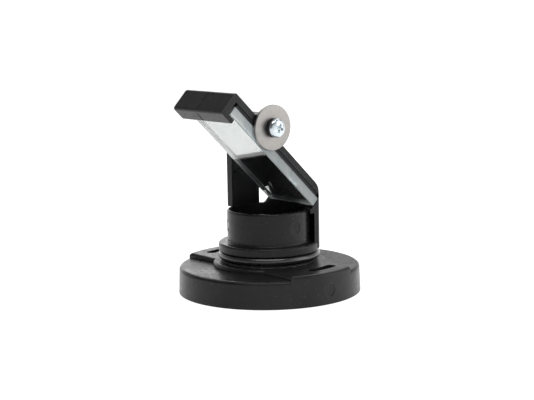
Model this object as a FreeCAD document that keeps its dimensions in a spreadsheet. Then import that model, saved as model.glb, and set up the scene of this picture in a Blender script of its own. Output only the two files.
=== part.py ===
import FreeCAD, Part
import math
import os
import Sketcher

# Swivel mirror bracket: a round base cap, a neck that turns in it, and a cradle that
# holds a thick mirror at 44 degrees over the bore of the neck.
# Origin: centre of the base's underside. +Z is up, +X is the side with the mirror screw,
# -Y is the side that the mirror looks out of.

doc = FreeCAD.newDocument("mirror_bracket")
sheet = doc.addObject("Spreadsheet::Sheet", "Sizes")

SIZES = [
    # base cap
    ("base_radius", 50.0), ("base_draft", 0.5), ("low_level", 14.4), ("raised_level", 16.9),
    ("band_front", 22.0), ("band_back", 18.0), ("boss_radius", 31.0), ("skirt_wall", 3.2),
    ("ceiling_level", 11.2), ("hub_level", 8.4), ("guard_inner", 26.8), ("guard_outer", 29.4),
    ("guard_level", 2.0), ("base_rim_round", 1.8), ("rib_width", 2.0), ("rib_level", 4.0),
    ("slot_pitch_radius", 39.3), ("slot_width", 5.6), ("slot_span", 29.0),
    ("slot_turn", 6.0),
    ("witness_depth", 0.4), ("base_witness_radius", 3.7), ("base_witness_level", 7.5),
    # neck
    ("bore_radius", 20.0), ("neck_radius", 22.85), ("neck_fit", 0.10), ("neck_bottom", 2.6),
    ("snap_groove_level", 6.0), ("snap_thick", 1.5), ("snap_groove_radius", 21.8),
    ("snap_outer_radius", 25.2), ("foot_flange_level", 17.15), ("foot_flange_radius", 26.6),
    ("cord_groove_level", 18.0), ("cord_groove_radius", 23.4), ("ring_level", 22.7),
    ("ring_radius", 27.7), ("ring_top_level", 27.4), ("collar_radius", 22.75),
    ("collar_top", 45.2), ("neck_witness_radius", 3.3), ("neck_witness_level", 36.8),
    ("cord_radius", 2.3), ("slip_thick", 0.8), ("thrust_thick", 1.0), ("thrust_outer", 25.9),
    # cradle: u runs down the slope from its top edge, v runs out of its back
    ("tilt", 44.0), ("crest_y", -38.36), ("crest_z", 111.94), ("half_width", 21.7),
    ("roof_thick", 3.3), ("hook_wall", 3.8), ("hook_reach", 9.0), ("hook_depth", 13.75),
    ("lip_thick", 2.75), ("roof_length", 96.0), ("leg_thick", 4.0), ("leg_front", 11.3),
    ("leg_back", 8.1), ("rail_width", 3.0), ("rail_depth", 5.4), ("saddle_far", 18.0),
    ("saddle_radius", 27.8), ("saddle_wall", 1.7), ("saddle_inner", 22.8),
    ("saddle_floor", 23.6), ("saddle_start", 11.6),
    ("pocket_top", 43.3), ("hump_radius", 7.5),
    ("hump_length", 18.0), ("hump_proud", 0.7),
    ("panel_step", 0.2), ("seam_x", -1.0), ("slit_width", 0.9),
    # mirror stack
    ("mirror_far", 14.4), ("mirror_near", 22.2), ("mirror_end", 81.7), ("glass_thick", 5.0),
    ("backing_thick", 0.5), ("pad_thick", 2.0), ("stack_gap", 0.1),
    # screw stack, on an axis along X
    ("screw_u", 30.2), ("screw_v", 1.6), ("insert_radius", 3.4), ("insert_length", 10.5),
    ("insert_inset", 1.5), ("screw_radius", 2.5), ("thread_fit", 0.05), ("bush_bore", 2.6),
    ("washer_radius", 12.0), ("washer_bore", 4.2), ("washer_thick", 1.5),
    ("spigot_radius", 4.1), ("bush_radius", 5.0), ("bush_length", 2.4), ("float_gap", 0.05),
    ("head_radius", 5.0), ("head_height", 2.8), ("screw_length", 19.0), ("drive_width", 1.1),
    ("drive_span", 4.9), ("drive_depth", 1.9),
]
for row, (alias, size) in enumerate(SIZES, start=1):
    sheet.set("A%d" % row, alias)
    sheet.set("B%d" % row, repr(size))
    sheet.setAlias("B%d" % row, alias)
doc.recompute()


def expression(text):
    """Return text with each alias written as a reference to its cell in the sheet."""
    out = text
    for alias, _ in sorted(SIZES, key=lambda pair: -len(pair[0])):
        out = out.replace(alias, "#" + str([a for a, _ in SIZES].index(alias)) + "#")
    for index, (alias, _) in enumerate(SIZES):
        out = out.replace("#%d#" % index, "Sizes." + alias)
    return out


def number(text):
    """Return the present value of an expression over the sheet's aliases."""
    value = sheet.evalExpression(expression(text))
    return float(getattr(value, "Value", value))


def bind(feature, prop, text):
    """Bind a property to an expression over the sheet's aliases."""
    feature.setExpression(prop, expression(text))


def body(name):
    """Return a new, empty body whose label names a node."""
    made = doc.addObject("PartDesign::Body", name + "_body")
    made.Label = name
    return made


def plane_of(owner, role):
    """Return one of the body's own origin planes or axes."""
    return [f for f in owner.Origin.OriginFeatures if f.Role == role][0]


def sketch_on(owner, name, role, offset=("0", "0", "0"), turn=None):
    """Return a sketch on an origin plane, moved by offset and turned about its normal."""
    sketch = owner.newObject("Sketcher::SketchObject", name)
    sketch.AttachmentSupport = [(plane_of(owner, role), "")]
    sketch.MapMode = "FlatFace"
    for axis, text in zip("xyz", offset):
        bind(sketch, "AttachmentOffset.Base." + axis, text)
    if turn is not None:
        bind(sketch, "AttachmentOffset.Rotation.Angle", turn)
    return sketch


def slope_sketch(owner, name, level="0"):
    """Return a sketch in the cradle's section plane: x down the slope, y out of its back."""
    return sketch_on(owner, name, "YZ_Plane", ("crest_y", "crest_z", level), "-tilt")


def polygon(sketch, corners):
    """Draw a closed outline whose corners are pairs of expressions from the origin."""
    points = [FreeCAD.Vector(number(x), number(y), 0) for x, y in corners]
    count = len(points)
    for i in range(count):
        sketch.addGeometry(Part.LineSegment(points[i], points[(i + 1) % count]), False)
    for i in range(count):
        sketch.addConstraint(Sketcher.Constraint("Coincident", i, 2, (i + 1) % count, 1))
    for i, (x, y) in enumerate(corners):
        for kind, text, value in (("DistanceX", x, points[i].x), ("DistanceY", y, points[i].y)):
            index = sketch.addConstraint(Sketcher.Constraint(kind, -1, 1, i, 1, value))
            bind(sketch, "Constraints[%d]" % index, text)
    return sketch


def circle(sketch, x, y, radius):
    """Draw a circle with its centre and radius bound to expressions."""
    centre = FreeCAD.Vector(number(x), number(y), 0)
    edge = sketch.addGeometry(Part.Circle(centre, FreeCAD.Vector(0, 0, 1), number(radius)), False)
    for kind, text, value in (("DistanceX", x, centre.x), ("DistanceY", y, centre.y)):
        index = sketch.addConstraint(Sketcher.Constraint(kind, -1, 1, edge, 3, value))
        bind(sketch, "Constraints[%d]" % index, text)
    index = sketch.addConstraint(Sketcher.Constraint("Radius", edge, number(radius)))
    bind(sketch, "Constraints[%d]" % index, radius)
    return sketch


def box_outline(sketch, x0, y0, x1, y1):
    """Draw a rectangle between two corners."""
    return polygon(sketch, [(x0, y0), (x1, y0), (x1, y1), (x0, y1)])


def volume(owner):
    """Return the body's volume after a recompute."""
    doc.recompute()
    return owner.Shape.Volume if owner.Tip else 0.0


def changed(owner, feature, before, grows):
    """Stop when a feature added or cut nothing."""
    after = volume(owner)
    moved = after - before if grows else before - after
    if moved <= 1e-6:
        raise RuntimeError("%s changed nothing in %s" % (feature.Name, owner.Label))


def pad(owner, sketch, length, midplane=False, reversed_way=False):
    """Extrude a sketch as added material."""
    before = volume(owner)
    feature = owner.newObject("PartDesign::Pad", sketch.Name + "_pad")
    feature.Profile = sketch
    bind(feature, "Length", length)
    feature.Midplane = midplane
    feature.Reversed = reversed_way
    changed(owner, feature, before, True)
    return feature


def pocket(owner, sketch, length, midplane=False, reversed_way=False):
    """Extrude a sketch as a cut."""
    before = volume(owner)
    feature = owner.newObject("PartDesign::Pocket", sketch.Name + "_pocket")
    feature.Profile = sketch
    bind(feature, "Length", length)
    feature.Midplane = midplane
    feature.Reversed = reversed_way
    changed(owner, feature, before, False)
    return feature


def turned(owner, name, corners, cut=False, angle=None, role="XZ_Plane", start=None):
    """Revolve an outline of (radius, height) pairs about Z; start turns its middle plane."""
    before = volume(owner)
    sketch = sketch_on(owner, name, role)
    if start is not None:
        upright = FreeCAD.Rotation(FreeCAD.Vector(0, 1, 0), number(start))
        sketch.AttachmentOffset = FreeCAD.Placement(FreeCAD.Vector(0, 0, 0), upright)
        bind(sketch, "AttachmentOffset.Rotation.Angle", start)
    polygon(sketch, corners)
    kind = "PartDesign::Groove" if cut else "PartDesign::Revolution"
    feature = owner.newObject(kind, name + ("_groove" if cut else "_turn"))
    feature.Profile = sketch
    feature.ReferenceAxis = (sketch, ["V_Axis"])
    if angle is None:
        feature.Angle = 360.0
    else:
        bind(feature, "Angle", angle)
        feature.Midplane = True
    changed(owner, feature, before, not cut)
    return feature


def turned_along_x(owner, name, corners, cut=False):
    """Revolve an outline of (distance along X, radius) pairs about the screw's axis."""
    before = volume(owner)
    sketch = polygon(sketch_on(owner, name, "XZ_Plane"), corners)
    kind = "PartDesign::Groove" if cut else "PartDesign::Revolution"
    feature = owner.newObject(kind, name + ("_groove" if cut else "_turn"))
    feature.Profile = sketch
    feature.ReferenceAxis = (sketch, ["H_Axis"])
    feature.Angle = 360.0
    changed(owner, feature, before, not cut)
    return feature


def patterned(owner, feature, count):
    """Repeat a feature evenly about Z."""
    before = volume(owner)
    pattern = owner.newObject("PartDesign::PolarPattern", feature.Name + "_ring")
    pattern.Originals = [feature]
    pattern.Axis = (plane_of(owner, "Z_Axis"), [""])
    pattern.Angle = 360.0
    pattern.Occurrences = count
    owner.Tip = pattern
    if abs(volume(owner) - before) <= 1e-6:
        raise RuntimeError("%s repeated nothing" % pattern.Name)
    return pattern


def rounded(owner, name, wanted, radius, kind="PartDesign::Fillet"):
    """Round the edges that the test picks; each edge is given as its shape."""
    doc.recompute()
    base = owner.Tip
    picked = ["Edge%d" % (i + 1) for i, e in enumerate(base.Shape.Edges) if wanted(e)]
    if not picked:
        raise RuntimeError("%s found no edge" % name)
    feature = owner.newObject(kind, name)
    feature.Base = (base, picked)
    bind(feature, "Radius" if kind.endswith("Fillet") else "Size", radius)
    doc.recompute()
    if "Invalid" in feature.State or feature.Shape.isNull() or not feature.Shape.isValid():
        raise RuntimeError("%s failed on %d edges" % (name, len(picked)))
    return feature


def ring_edge(radius, level, spread=0.05):
    """Return a test for circular edges of one radius about Z at one height."""
    def test(edge):
        curve = edge.Curve
        if not isinstance(curve, Part.Circle):
            return False
        on_axis = math.hypot(curve.Center.x, curve.Center.y) < spread
        return on_axis and abs(curve.Radius - radius) < spread and abs(curve.Center.z - level) < spread
    return test


def any_of(*tests):
    """Return a test that passes when one of the given tests does."""
    return lambda edge: any(test(edge) for test in tests)


# ---------------------------------------------------------------- base cap
def make_base_cap():
    """Moulded cap: skirt, lower and raised levels, hub with bore, ribs and two curved slots."""
    cap = body("base_cap")
    turned(cap, "cap_section", [
        ("neck_radius + neck_fit", "hub_level"), ("guard_inner", "hub_level"),
        ("guard_inner", "guard_level"), ("guard_outer", "guard_level"),
        ("guard_outer", "ceiling_level"), ("base_radius - base_draft - skirt_wall", "ceiling_level"),
        ("base_radius - skirt_wall", "0"), ("base_radius", "0"),
        ("base_radius - base_draft", "low_level"), ("neck_radius + neck_fit", "low_level")])
    band = box_outline(sketch_on(cap, "raised_band", "XY_Plane", ("0", "0", "ceiling_level + 1")),
                       "-base_radius - 5", "-band_front", "base_radius + 5", "band_back")
    pad(cap, band, "raised_level - ceiling_level - 1")
    turned(cap, "boss", [
        ("neck_radius", "ceiling_level + 1"), ("boss_radius", "ceiling_level + 1"),
        ("boss_radius", "raised_level"), ("neck_radius", "raised_level")])
    turned(cap, "rim_trim", [
        ("base_radius", "-0.5"), ("base_radius - base_draft - 0.1", "raised_level + 1"),
        ("base_radius + 20", "raised_level + 1"), ("base_radius + 20", "-0.5")], cut=True)
    turned(cap, "bore", [
        ("0", "-1"), ("neck_radius + neck_fit", "-1"),
        ("neck_radius + neck_fit", "raised_level + 1"), ("0", "raised_level + 1")], cut=True)
    turned(cap, "thrust_seat", [
        ("neck_radius", "raised_level - thrust_thick + 0.1"),
        ("thrust_outer + 0.1", "raised_level - thrust_thick + 0.1"),
        ("thrust_outer + 0.1", "raised_level + 1"), ("neck_radius", "raised_level + 1")], cut=True)
    low, high = number("low_level"), number("raised_level")

    def top_edge(edge):
        box = edge.BoundBox
        flat = box.ZMax - box.ZMin < 1e-4
        at_rim = math.hypot(edge.CenterOfMass.x, edge.CenterOfMass.y) > 20
        on_top = abs(box.ZMax - high) < 1e-3
        low_rim = abs(box.ZMax - low) < 1e-3 and edge.Length > 60 and isinstance(edge.Curve, Part.Circle) \
            and edge.Curve.Radius > 45
        outside = min(math.hypot(v.Point.x, v.Point.y) for v in edge.Vertexes) > 27
        return flat and at_rim and outside and (on_top or low_rim)

    rounded(cap, "cap_top_round", top_edge, "base_rim_round")
    slot = turned(cap, "slot", [
        ("slot_pitch_radius - slot_width / 2", "ceiling_level - 1"),
        ("slot_pitch_radius + slot_width / 2", "ceiling_level - 1"),
        ("slot_pitch_radius + slot_width / 2", "raised_level + 1"),
        ("slot_pitch_radius - slot_width / 2", "raised_level + 1")], cut=True, angle="slot_span",
        start="slot_turn")
    patterned(cap, slot, 2)

    def slot_corner(edge):
        box = edge.BoundBox
        radius = math.hypot(edge.CenterOfMass.x, edge.CenterOfMass.y)
        upright = box.ZLength > 2 and box.XLength < 1e-3 and box.YLength < 1e-3
        return upright and abs(radius - number("slot_pitch_radius")) < number("slot_width")

    rounded(cap, "slot_round", slot_corner, "slot_width / 2 - 0.4")
    rib = box_outline(sketch_on(cap, "rib", "XY_Plane", ("0", "0", "rib_level"), "30"),
                      "guard_outer - 0.5", "-rib_width / 2",
                      "base_radius - skirt_wall + 0.3", "rib_width / 2")
    patterned(cap, pad(cap, rib, "ceiling_level - rib_level + 0.5"), 6)
    mark = circle(sketch_on(cap, "witness", "YZ_Plane", ("0", "0", "base_radius - 0.25 - witness_depth")),
                  "0", "base_witness_level", "base_witness_radius")
    patterned(cap, pocket(cap, mark, "3", reversed_way=True), 2)
    return cap


def make_ring(name, inner, outer, level, thick):
    """Flat washer about Z."""
    ring = body(name)
    turned(ring, name + "_section", [
        (inner, level), (outer, level), (outer, level + " + " + thick), (inner, level + " + " + thick)])
    return ring


# ---------------------------------------------------------------- neck
def make_swivel_neck():
    """Tube that turns in the cap: snap groove, foot flange, cord groove, ring and collar."""
    neck = body("swivel_neck")
    turned(neck, "neck_section", [
        ("bore_radius", "neck_bottom"), ("neck_radius", "neck_bottom"),
        ("neck_radius", "snap_groove_level"), ("snap_groove_radius", "snap_groove_level"),
        ("snap_groove_radius", "snap_groove_level + snap_thick"),
        ("neck_radius", "snap_groove_level + snap_thick"),
        ("neck_radius", "foot_flange_level"), ("foot_flange_radius", "foot_flange_level"),
        ("foot_flange_radius", "cord_groove_level"), ("cord_groove_radius", "cord_groove_level"),
        ("cord_groove_radius", "ring_level"), ("ring_radius", "ring_level"),
        ("ring_radius", "ring_top_level"), ("collar_radius", "ring_top_level"),
        ("collar_radius", "collar_top"), ("bore_radius", "collar_top")])
    rounded(neck, "ring_round", any_of(
        ring_edge(number("ring_radius"), number("ring_top_level")),
        ring_edge(number("collar_radius"), number("collar_top")),
        ring_edge(number("collar_radius"), number("ring_top_level"))), "1.1")
    rounded(neck, "edge_round", any_of(
        ring_edge(number("ring_radius"), number("ring_level")),
        ring_edge(number("neck_radius"), number("neck_bottom")),
        ring_edge(number("bore_radius"), number("collar_top"))), "0.6")
    turned(neck, "key_gap", [
        ("saddle_radius - saddle_wall - 0.1", "ring_level - 1"), ("saddle_radius + 2", "ring_level - 1"),
        ("saddle_radius + 2", "ring_top_level + 1"), ("saddle_radius - saddle_wall - 0.1", "ring_top_level + 1")],
        cut=True, angle="117", role="YZ_Plane")
    mark = circle(sketch_on(neck, "witness", "YZ_Plane", ("0", "0", "collar_radius - witness_depth")),
                  "0", "neck_witness_level", "neck_witness_radius")
    patterned(neck, pocket(neck, mark, "3", reversed_way=True), 3)
    return neck


def make_neck_o_ring():
    """Round rubber cord in the neck's groove."""
    cord = doc.addObject("Part::Torus", "neck_o_ring_torus")
    cord.Label = "neck_o_ring"
    bind(cord, "Radius1", "cord_groove_radius + cord_radius")
    bind(cord, "Radius2", "cord_radius")
    bind(cord, "Placement.Base.z", "(cord_groove_level + ring_level) / 2")
    return cord


def make_retaining_ring():
    """Open snap ring with two drilled ears, in the groove below the hub."""
    ring = body("retaining_ring")
    inner = "snap_groove_radius + 0.05"
    base = "snap_groove_level + 0.03"
    thick = "snap_thick - 0.06"
    turned(ring, "snap_section", [
        (inner, base), ("snap_outer_radius", base),
        ("snap_outer_radius", base + " + " + thick), (inner, base + " + " + thick)])
    gap = box_outline(sketch_on(ring, "gap", "XY_Plane", ("0", "0", base)),
                      "-3", "-snap_outer_radius - 4", "3", "-10")
    pocket(ring, gap, thick, reversed_way=True)
    for side, mirror in (("left", "-"), ("right", "")):
        hole = circle(sketch_on(ring, side + "_hole", "XY_Plane", ("0", "0", base)),
                      mirror + "5.2", "-(snap_outer_radius + snap_groove_radius) / 2 + 0.6", "0.9")
        pocket(ring, hole, thick, reversed_way=True)
    return ring


# ---------------------------------------------------------------- cradle
def slope_edge(u, v, spread=0.05):
    """Return a test for edges along X at one place in the cradle's section."""
    angle = math.radians(number("tilt"))
    y0, z0 = number("crest_y"), number("crest_z")
    u, v = number(u), number(v)
    y = y0 + u * math.cos(angle) + v * math.sin(angle)
    z = z0 - u * math.sin(angle) + v * math.cos(angle)

    def test(edge):
        box = edge.BoundBox
        along = box.XLength > 0.5 and box.YLength < 1e-3 and box.ZLength < 1e-3
        return along and abs(box.YMin - y) < spread and abs(box.ZMin - z) < spread
    return test


def slope_prism(owner, name, corners, start, length, cut=False):
    """Extrude an outline drawn in the cradle's section, from X = start toward +X."""
    sketch = polygon(slope_sketch(owner, name, start), corners)
    if cut:
        return pocket(owner, sketch, length, reversed_way=True)
    return pad(owner, sketch, length)


def roof_height(y, v):
    """Return an expression for Z on the line at height v in the section, at one Y."""
    text = "crest_z + ({v}) / cos(tilt * 1 deg) - (({y}) - crest_y) * tan(tilt * 1 deg)"
    return text.format(y=y, v=v)


def make_mirror_cradle():
    """Sloping roof with a hook along its top, a leg on the far side and a saddle at its foot."""
    cradle = body("mirror_cradle")
    slope_prism(cradle, "roof_and_hook", [
        ("0", "0"), ("roof_length", "0"), ("roof_length", "-roof_thick"),
        ("hook_wall", "-roof_thick"), ("hook_wall", "-hook_depth + lip_thick"),
        ("hook_reach", "-hook_depth + lip_thick"), ("hook_reach", "-hook_depth"),
        ("0", "-hook_depth")], "-half_width", "2 * half_width")
    saddle_front = "mirror_end + 0.9"
    front_y = "crest_y + (%s) * cos(tilt * 1 deg) + (%s) * sin(tilt * 1 deg)"
    front_z = "crest_z - (%s) * sin(tilt * 1 deg) + (%s) * cos(tilt * 1 deg)"
    top_v = "-roof_thick / 2"
    low_v = "-roof_thick - 9.3"
    saddle = polygon(sketch_on(cradle, "saddle", "YZ_Plane", ("0", "0", "-saddle_far")), [
        ("saddle_start", "saddle_floor"), ("saddle_radius + 1", "saddle_floor"),
        ("saddle_radius + 1", roof_height("saddle_radius + 1", top_v)),
        (front_y % (saddle_front, top_v), front_z % (saddle_front, top_v)),
        (front_y % (saddle_front, low_v), front_z % (saddle_front, low_v)),
        ("saddle_start", front_z % (saddle_front, low_v))])
    pad(cradle, saddle, "saddle_far + half_width")
    turned(cradle, "collar_seat", [
        ("0", "saddle_floor - 1"), ("saddle_inner", "saddle_floor - 1"),
        ("saddle_inner", "collar_top + 0.05"), ("0", "collar_top + 0.05")], cut=True)
    turned(cradle, "bore_clearance", [
        ("0", "collar_top - 1"), ("bore_radius + 0.5", "collar_top - 1"),
        ("bore_radius + 0.5", "collar_top + 4"), ("0", "collar_top + 4")], cut=True)
    turned(cradle, "ring_clearance", [
        ("0", "saddle_floor - 1"), ("saddle_radius - saddle_wall", "saddle_floor - 1"),
        ("saddle_radius - saddle_wall", "ring_top_level + 0.05"), ("0", "ring_top_level + 0.05")],
        cut=True)
    turned(cradle, "saddle_pocket", [
        ("saddle_inner - 1", "ring_top_level - 1"), ("saddle_radius - saddle_wall", "ring_top_level - 1"),
        ("saddle_radius - saddle_wall", "pocket_top"), ("saddle_inner - 1", "pocket_top")], cut=True)
    turned(cradle, "saddle_outside", [
        ("saddle_radius", "saddle_floor - 1"), ("saddle_radius + 30", "saddle_floor - 1"),
        ("saddle_radius + 30", "70"), ("saddle_radius", "70")],
        cut=True, angle="150", role="YZ_Plane")
    for name, at in (("web_near", "6.0"), ("web_far", "-9.0")):
        web = box_outline(sketch_on(cradle, name, "XY_Plane", ("0", "0", "ring_top_level + 1.3")),
                          at, "saddle_radius - 7.5", "(%s) + 2.4" % at, "saddle_radius - 3.0")
        pad(cradle, web, "pocket_top - ring_top_level - 0.8")
    turned(cradle, "collar_seat_again", [
        ("0", "saddle_floor - 1"), ("saddle_inner", "saddle_floor - 1"),
        ("saddle_inner", "collar_top + 0.05"), ("0", "collar_top + 0.05")], cut=True)
    foot = "collar_top + 0.05"
    leg = polygon(sketch_on(cradle, "leg", "YZ_Plane", ("0", "0", "-half_width")), [
        ("-leg_front", foot), ("leg_back", foot),
        ("leg_back", roof_height("leg_back", top_v)),
        ("-leg_front", roof_height("-leg_front", top_v))])
    pad(cradle, leg, "leg_thick")
    slope_prism(cradle, "rail", [
        ("hook_wall - 0.5", "-roof_thick - rail_depth"), ("mirror_end - 1", "-roof_thick - rail_depth"),
        ("mirror_end - 1", "-roof_thick + 0.5"), ("hook_wall - 0.5", "-roof_thick + 0.5")],
        "-half_width + leg_thick - 0.3", "rail_width + 0.3")
    hump = circle(slope_sketch(cradle, "hump", "half_width + hump_proud - hump_length"),
                  "screw_u", "screw_v", "hump_radius")
    pad(cradle, hump, "hump_length")
    rise = "hump_radius * cos(tilt * 1 deg)"
    back = "hump_radius * sin(tilt * 1 deg)"
    run = "(screw_v + %s + 0.5) / tan(tilt * 1 deg)" % rise
    slope_prism(cradle, "hump_web", [
        ("screw_u - %s" % back, "screw_v + %s" % rise),
        ("screw_u - %s - %s" % (back, run), "-0.5"),
        ("screw_u + 2", "-0.5"), ("screw_u", "screw_v")],
        "half_width + hump_proud - hump_length", "hump_length")
    slope_prism(cradle, "mirror_space", [
        ("hook_wall + 4", "-roof_thick - 7"), ("screw_u + 14", "-roof_thick - 7"),
        ("screw_u + 14", "-roof_thick"), ("hook_wall + 4", "-roof_thick")],
        "-mirror_far", "half_width + mirror_far + 3", cut=True)
    rounded(cradle, "crest_round", any_of(
        slope_edge("0", "0"), slope_edge("0", "-hook_depth")), "1.5")

    rounded(cradle, "lip_round", slope_edge("hook_reach", "-hook_depth"), "0.8")

    def roof_end(edge):
        ends = [v.Point for v in edge.Vertexes]
        on_wall = all(abs(math.hypot(p.x, p.y) - number("saddle_radius")) < 0.02 for p in ends)
        return on_wall and edge.Length > 25 and edge.BoundBox.ZMin > 44

    rounded(cradle, "roof_end_round", roof_end, "2.5")

    def far_corner(edge):
        box = edge.BoundBox
        at_end = box.XLength < 1e-3 and abs(box.XMin + number("half_width")) < 1e-3
        flat = isinstance(edge.Curve, Part.Line) and 9 < edge.Length < 12
        front = box.ZMin > number("crest_z") - 12 and box.YMax < number("crest_y") + 1
        return at_end and flat and front

    rounded(cradle, "far_corner_round", far_corner, "2.4")
    slope_prism(cradle, "front_panel", [
        ("-1", "-1.7"), ("panel_step", "-1.7"), ("panel_step", "-hook_depth - 1"),
        ("-1", "-hook_depth - 1")], "seam_x + slit_width / 2", "half_width + 2", cut=True)
    slope_prism(cradle, "lip_slit", [
        ("hook_wall - 1.4", "-hook_depth - 1"), ("hook_reach + 1", "-hook_depth - 1"),
        ("hook_reach + 1", "-hook_depth + lip_thick + 0.3"),
        ("hook_wall - 1.4", "-hook_depth + lip_thick + 0.3")],
        "seam_x - slit_width / 2", "slit_width", cut=True)
    hole = circle(slope_sketch(cradle, "insert_hole", "half_width + hump_proud"),
                  "screw_u", "screw_v", "insert_radius + 0.02")
    pocket(cradle, hole, "insert_length + insert_inset + 0.1")
    tip = circle(slope_sketch(cradle, "screw_hole", "half_width + hump_proud"),
                 "screw_u", "screw_v", "screw_radius + 0.25")
    pocket(cradle, tip, "hump_length - 2")
    return cradle


# ---------------------------------------------------------------- mirror
def make_plate(name, top, thick, inset):
    """Flat plate in the mirror's stack: top is its upper face's depth below the roof line."""
    plate = body(name)
    slope_prism(plate, name + "_outline", [
        ("hook_wall + 1.0 + " + inset, "-(%s) - %s" % (top, thick)),
        ("mirror_end - " + inset, "-(%s) - %s" % (top, thick)),
        ("mirror_end - " + inset, "-(%s)" % top),
        ("hook_wall + 1.0 + " + inset, "-(%s)" % top)],
        "-mirror_far + " + inset, "mirror_far + mirror_near - 2 * (%s)" % inset)
    return plate


def make_mirror_glass():
    """Thick glass plate with its lower edges ground to a small bevel."""
    top = "roof_thick + stack_gap + pad_thick + backing_thick"
    glass = make_plate("mirror_glass", top, "glass_thick", "0")
    angle = math.radians(number("tilt"))
    level = -number(top) - number("glass_thick")

    def lower_edge(edge):
        ends = [v.Point for v in edge.Vertexes]
        heights = [(p.y - number("crest_y")) * math.sin(angle) + (p.z - number("crest_z")) * math.cos(angle)
                   for p in ends]
        return all(abs(height - level) < 1e-3 for height in heights)

    rounded(glass, "ground_edge", lower_edge, "0.4", kind="PartDesign::Chamfer")
    return glass


# ---------------------------------------------------------------- screw stack
def along_screw_axis(owner):
    """Place a body drawn about the X axis on the screw's axis."""
    bind(owner, "Placement.Base.y",
         "crest_y + screw_u * cos(tilt * 1 deg) + screw_v * sin(tilt * 1 deg)")
    bind(owner, "Placement.Base.z",
         "crest_z - screw_u * sin(tilt * 1 deg) + screw_v * cos(tilt * 1 deg)")
    return owner


def circle_edges(axis_at, radius, spread=0.02):
    """Return a test for circular edges about the X axis at one X and radius."""
    def test(edge):
        curve = edge.Curve
        if not isinstance(curve, Part.Circle):
            return False
        return abs(curve.Center.x - axis_at) < spread and abs(curve.Radius - radius) < spread
    return test


def make_threaded_insert():
    """Knurled brass insert, with two relief grooves, moulded into the hump."""
    insert = body("threaded_insert")
    far, near = "half_width + hump_proud - insert_inset - insert_length", "half_width + hump_proud - insert_inset"
    bore = "screw_radius + thread_fit"
    turned_along_x(insert, "insert_section", [
        (far, bore), (far, "insert_radius - 0.3"), (far + " + 0.4", "insert_radius"),
        (far + " + 3.2", "insert_radius"), (far + " + 3.2", "insert_radius - 0.4"),
        (far + " + 4.2", "insert_radius - 0.4"), (far + " + 4.2", "insert_radius"),
        (near, "insert_radius"), (near, bore)])
    return along_screw_axis(insert)


def make_retaining_washer():
    """Broad flat washer that overlaps the edge of the mirror."""
    washer = body("retaining_washer")
    far = "half_width + hump_proud + float_gap"
    turned_along_x(washer, "washer_section", [
        (far, "washer_bore"), (far, "washer_radius"),
        (far + " + washer_thick", "washer_radius"), (far + " + washer_thick", "washer_bore")])
    face = number(far + " + washer_thick")
    rounded(washer, "washer_round", any_of(
        circle_edges(face, number("washer_radius")), circle_edges(face, number("washer_bore"))), "0.25")
    return along_screw_axis(washer)


def make_spacer_bush():
    """Shouldered plastic bush: its spigot passes through the washer and its flange holds it."""
    bush = body("spacer_bush")
    far = "half_width + hump_proud + 0.02"
    face = "half_width + hump_proud + washer_thick + 2 * float_gap"
    turned_along_x(bush, "bush_section", [
        (far, "bush_bore"), (far, "spigot_radius"), (face, "spigot_radius"),
        (face, "bush_radius"), (face + " + bush_length", "bush_radius"),
        (face + " + bush_length", "bush_bore")])
    outer = number(face + " + bush_length")
    rounded(bush, "bush_round", any_of(
        circle_edges(outer, number("bush_radius")),
        circle_edges(number(face), number("bush_radius"))), "0.35")
    return along_screw_axis(bush)


def make_mirror_screw():
    """Pan head screw with a domed head and a cross recess."""
    screw = body("mirror_screw")
    seat = "half_width + hump_proud + washer_thick + 2 * float_gap + bush_length + 0.02"
    turned_along_x(screw, "screw_section", [
        (seat + " - screw_length", "0"), (seat + " - screw_length", "screw_radius - 0.6"),
        (seat + " - screw_length + 0.6", "screw_radius"), (seat, "screw_radius"),
        (seat, "head_radius"), (seat + " + 0.9", "head_radius"),
        (seat + " + 1.8", "head_radius - 0.75"), (seat + " + 2.45", "head_radius - 1.9"),
        (seat + " + head_height", "head_radius - 3.3"), (seat + " + head_height", "0")])
    rounded(screw, "head_round", any_of(
        circle_edges(number(seat + " + 0.9"), number("head_radius")),
        circle_edges(number(seat + " + 1.8"), number("head_radius - 0.75")),
        circle_edges(number(seat + " + 2.45"), number("head_radius - 1.9"))), "0.8")
    for name, turn in (("first", "-20"), ("second", "70")):
        wing = box_outline(sketch_on(screw, name + "_wing", "YZ_Plane", ("0", "0", seat + " + head_height"),
                                     turn),
                           "-drive_span / 2", "-drive_width / 2", "drive_span / 2", "drive_width / 2")
        pocket(screw, wing, "drive_depth")
    return along_screw_axis(screw)


PIECES = [
    make_base_cap(),
    make_ring("thrust_washer", "neck_radius + 0.2", "thrust_outer", "raised_level - thrust_thick + 0.12",
              "thrust_thick"),
    make_ring("slip_washer", "neck_radius + 0.2", "snap_outer_radius + 0.6",
              "hub_level - slip_thick - 0.03", "slip_thick"),
    make_swivel_neck(),
    make_neck_o_ring(),
    make_retaining_ring(),
    make_mirror_cradle(),
    make_mirror_glass(),
    make_plate("mirror_backing", "roof_thick + stack_gap / 2 + pad_thick", "backing_thick", "0.15"),
    make_plate("mirror_pad", "roof_thick + stack_gap / 2", "pad_thick", "1.2"),
    make_threaded_insert(),
    make_retaining_washer(),
    make_spacer_bush(),
    make_mirror_screw(),
]
doc.recompute()

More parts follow.
